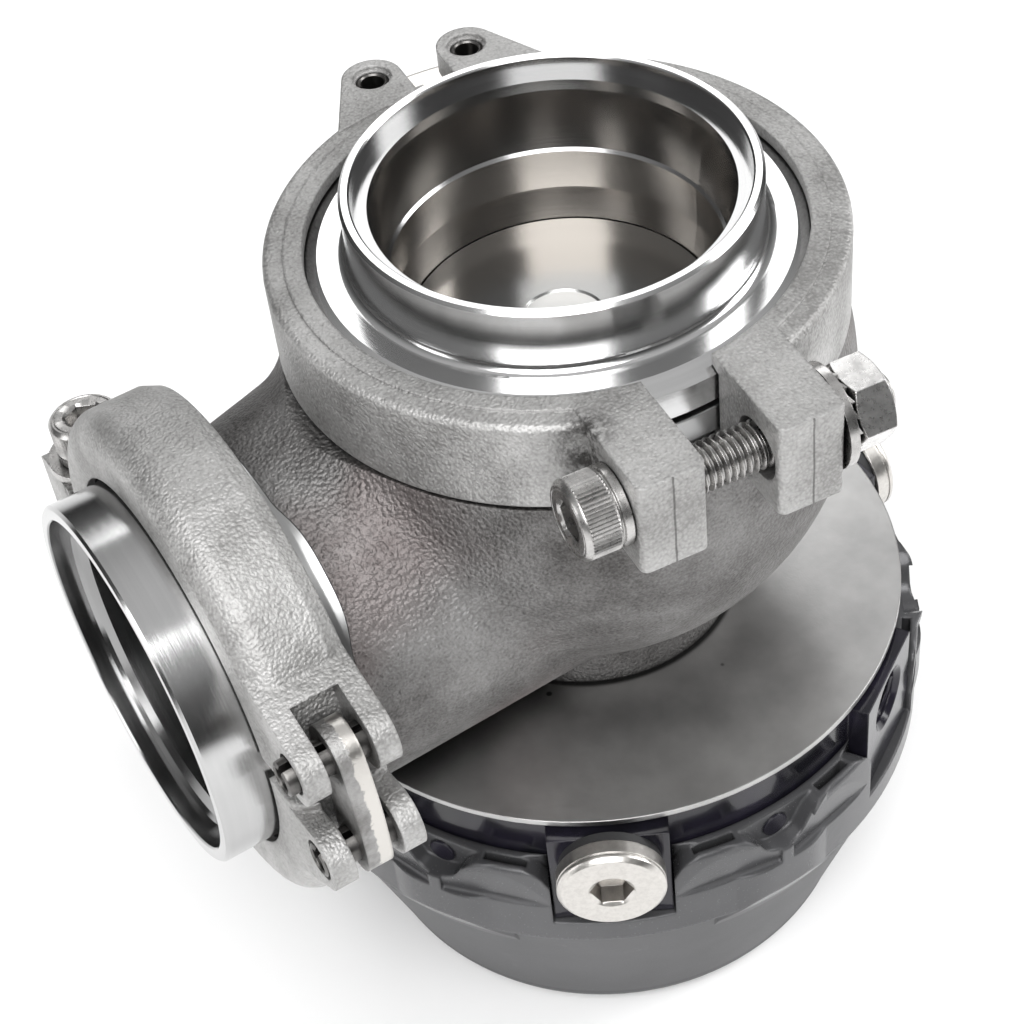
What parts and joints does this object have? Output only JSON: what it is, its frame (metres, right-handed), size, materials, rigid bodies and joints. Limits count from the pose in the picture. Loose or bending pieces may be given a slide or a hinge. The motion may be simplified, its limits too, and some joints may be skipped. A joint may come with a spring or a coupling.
{
  "type": "turbo wastegate",
  "caption": "Exhaust wastegate: a round cast valve chamber with two clamped V-flange pipe ends and a poppet valve worked by a spring and diaphragm actuator in a lobed cup",
  "frame": {"origin": "on the valve axis in the flat end face of the actuator cap", "axes": "+Z along the valve axis to the exhaust inlet, -X along the outlet axis, +Y completes the right-handed frame"},
  "size_m": [0.1544, 0.1263, 0.166],
  "materials": {
    "cast_steel": "blasted stainless casting",
    "turned_steel": "bright turned stainless",
    "valve_steel": "fine turned",
    "clamp_steel": "fine cast grain",
    "fastener_steel": "plain stainless",
    "sheet_steel": "satin sheet",
    "black_aluminium": "gloss black anodised",
    "cap_aluminium": "satin black anodised",
    "plain_aluminium": "as machined",
    "bronze": "as machined",
    "fibre": "pressed fibre",
    "seal_rubber": "matt",
    "spring_steel": "drawn wire"
  },
  "bodies": {
    "housing": {"valve_housing": "cast_steel", "inlet_weld_flange": "turned_steel", "outlet_weld_flange": "turned_steel", "valve_seat": "turned_steel", "valve_guide": "bronze", "stem_bushing": "bronze", "stem_seal": "seal_rubber", "heat_shield": "sheet_steel", "insulating_gasket": "fibre", "base_screws": "fastener_steel", "actuator_base": "black_aluminium", "cap_pins": "black_aluminium", "actuator_cap": "cap_aluminium", "diaphragm": "seal_rubber", "outer_spring": "spring_steel", "inner_spring": "spring_steel", "port_plug": "fastener_steel", "port_plug_washer": "seal_rubber", "inlet_clamp_fixed_half": "clamp_steel", "inlet_clamp_pin_a": "fastener_steel", "inlet_clamp_bolt": "fastener_steel", "outlet_clamp_fixed_half": "clamp_steel", "outlet_clamp_pin_a": "fastener_steel", "outlet_clamp_bolt": "fastener_steel", "outlet_clamp_head_washer": "fastener_steel"},
    "valve_stem": {"valve": "valve_steel", "diaphragm_plate": "plain_aluminium", "spring_retainer": "plain_aluminium", "retainer_nut": "fastener_steel"},
    "inlet_link": {"inlet_clamp_link": "clamp_steel"},
    "inlet_swing": {"inlet_clamp_swing_half": "clamp_steel", "inlet_clamp_pin_b": "fastener_steel"},
    "inlet_nut": {"inlet_clamp_washer": "fastener_steel", "inlet_clamp_lock_washer": "fastener_steel", "inlet_clamp_nut": "fastener_steel"},
    "outlet_link": {"outlet_clamp_link": "clamp_steel"},
    "outlet_swing": {"outlet_clamp_swing_half": "clamp_steel", "outlet_clamp_pin_b": "fastener_steel"},
    "outlet_nut": {"outlet_clamp_washer": "fastener_steel", "outlet_clamp_nut": "fastener_steel"}
  },
  "joints": [
    {"name": "valve_lift", "type": "slide", "parent": "housing", "child": "valve_stem", "axis": [0, 0, -1], "range_m": [0, 0.012], "stiffness_N_per_m": 1500, "springref_m": -0.003, "deforming": ["outer_spring", "inner_spring", "diaphragm"]},
    {"name": "inlet_link_swing", "type": "hinge", "parent": "housing", "child": "inlet_link", "pos_m": [-0.00361, 0.05408, 0.14745], "axis": [0, 0, 1], "range_deg": [0, 1.6]},
    {"name": "inlet_half_swing", "type": "hinge", "parent": "inlet_link", "child": "inlet_swing", "pos_m": [0.01469, 0.05217, 0.14745], "axis": [0, 0, 1], "range_deg": [0, 1.6]},
    {"name": "inlet_nut_travel", "type": "slide", "parent": "housing", "child": "inlet_nut", "axis": [0.9946, -0.1037, 0], "range_m": [0, 0.0066]},
    {"name": "outlet_link_swing", "type": "hinge", "parent": "housing", "child": "outlet_link", "pos_m": [-0.07125, -0.04575, 0.11946], "axis": [-1, 0, 0], "range_deg": [0, 1.6]},
    {"name": "outlet_half_swing", "type": "hinge", "parent": "outlet_link", "child": "outlet_swing", "pos_m": [-0.07125, -0.049, 0.10139], "axis": [-1, 0, 0], "range_deg": [0, 1.6]},
    {"name": "outlet_nut_travel", "type": "slide", "parent": "housing", "child": "outlet_nut", "axis": [0, -0.1045, -0.9945], "range_m": [0, 0.0066]}
  ],
  "couplings": [
    {"joint": "inlet_half_swing", "follows": "inlet_link_swing", "ratio": 1},
    {"joint": "inlet_nut_travel", "follows": "inlet_link_swing", "m_per_rad": 0.2363},
    {"joint": "outlet_half_swing", "follows": "outlet_link_swing", "ratio": 1},
    {"joint": "outlet_nut_travel", "follows": "outlet_link_swing", "m_per_rad": 0.2363}
  ]
}
